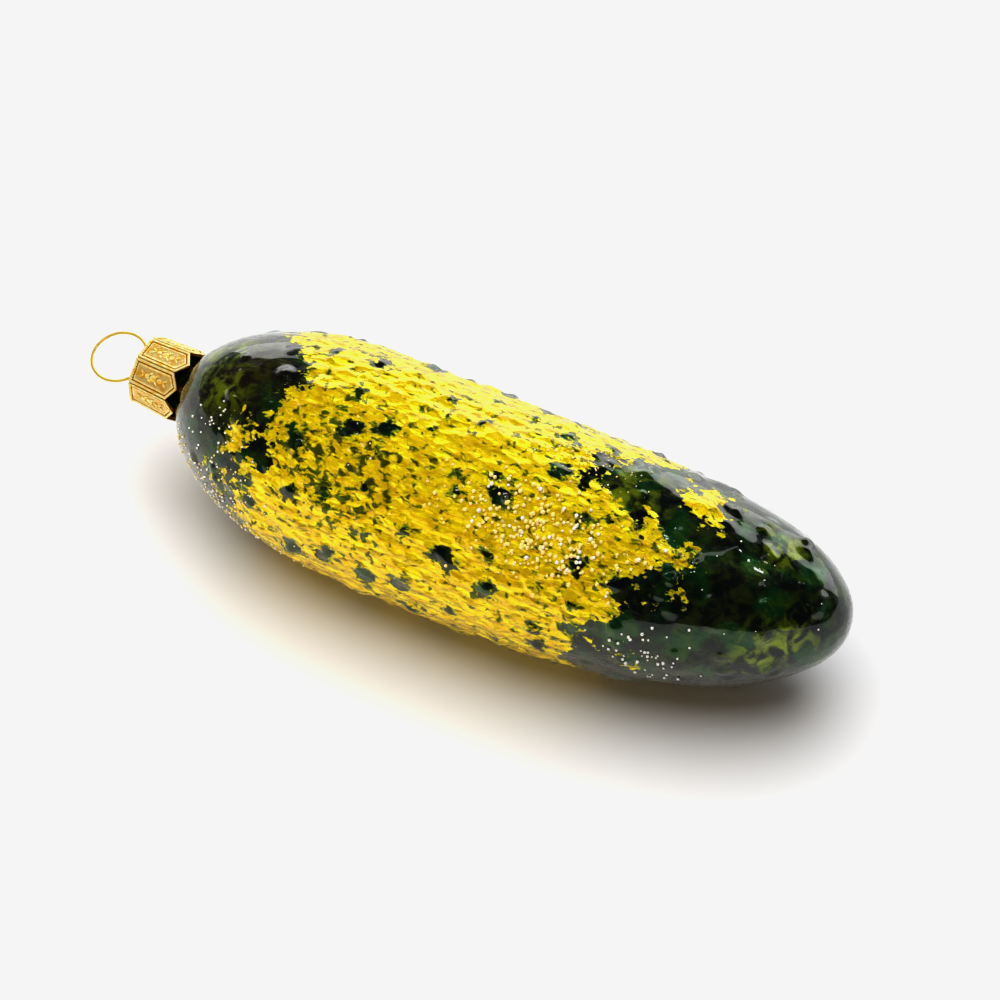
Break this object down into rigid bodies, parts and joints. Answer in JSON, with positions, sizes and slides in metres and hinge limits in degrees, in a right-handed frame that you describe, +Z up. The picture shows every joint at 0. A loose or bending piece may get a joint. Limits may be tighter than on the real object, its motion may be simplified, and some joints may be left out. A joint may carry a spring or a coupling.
{
  "type": "glass cucumber ornament",
  "caption": "Blown-glass cucumber tree ornament lying on its side, hollow and bowed, with a crown cap and a sprung wire hanging loop.",
  "frame": {"origin": "under the middle of the ornament's box, on the surface that it lies on", "axes": "+X along the ornament from the hanging loop to the blossom end, +Z up, the outside of the bow towards -Y"},
  "size_m": [0.138, 0.0398, 0.0393],
  "materials": {
    "lacquered_glass": "silvered inside, lacquered yellow and dark green, high gloss",
    "gilded_cap": "stamped, gold-coloured, bright",
    "gilded_wire": "drawn wire, gold-coloured, bright",
    "glass_beads": "tiny glued clear and gold glass beads"
  },
  "bodies": {
    "root": {"glass_body": "lacquered_glass", "cap": "gilded_cap", "hanger": "gilded_wire"}
  },
  "joints": []
}
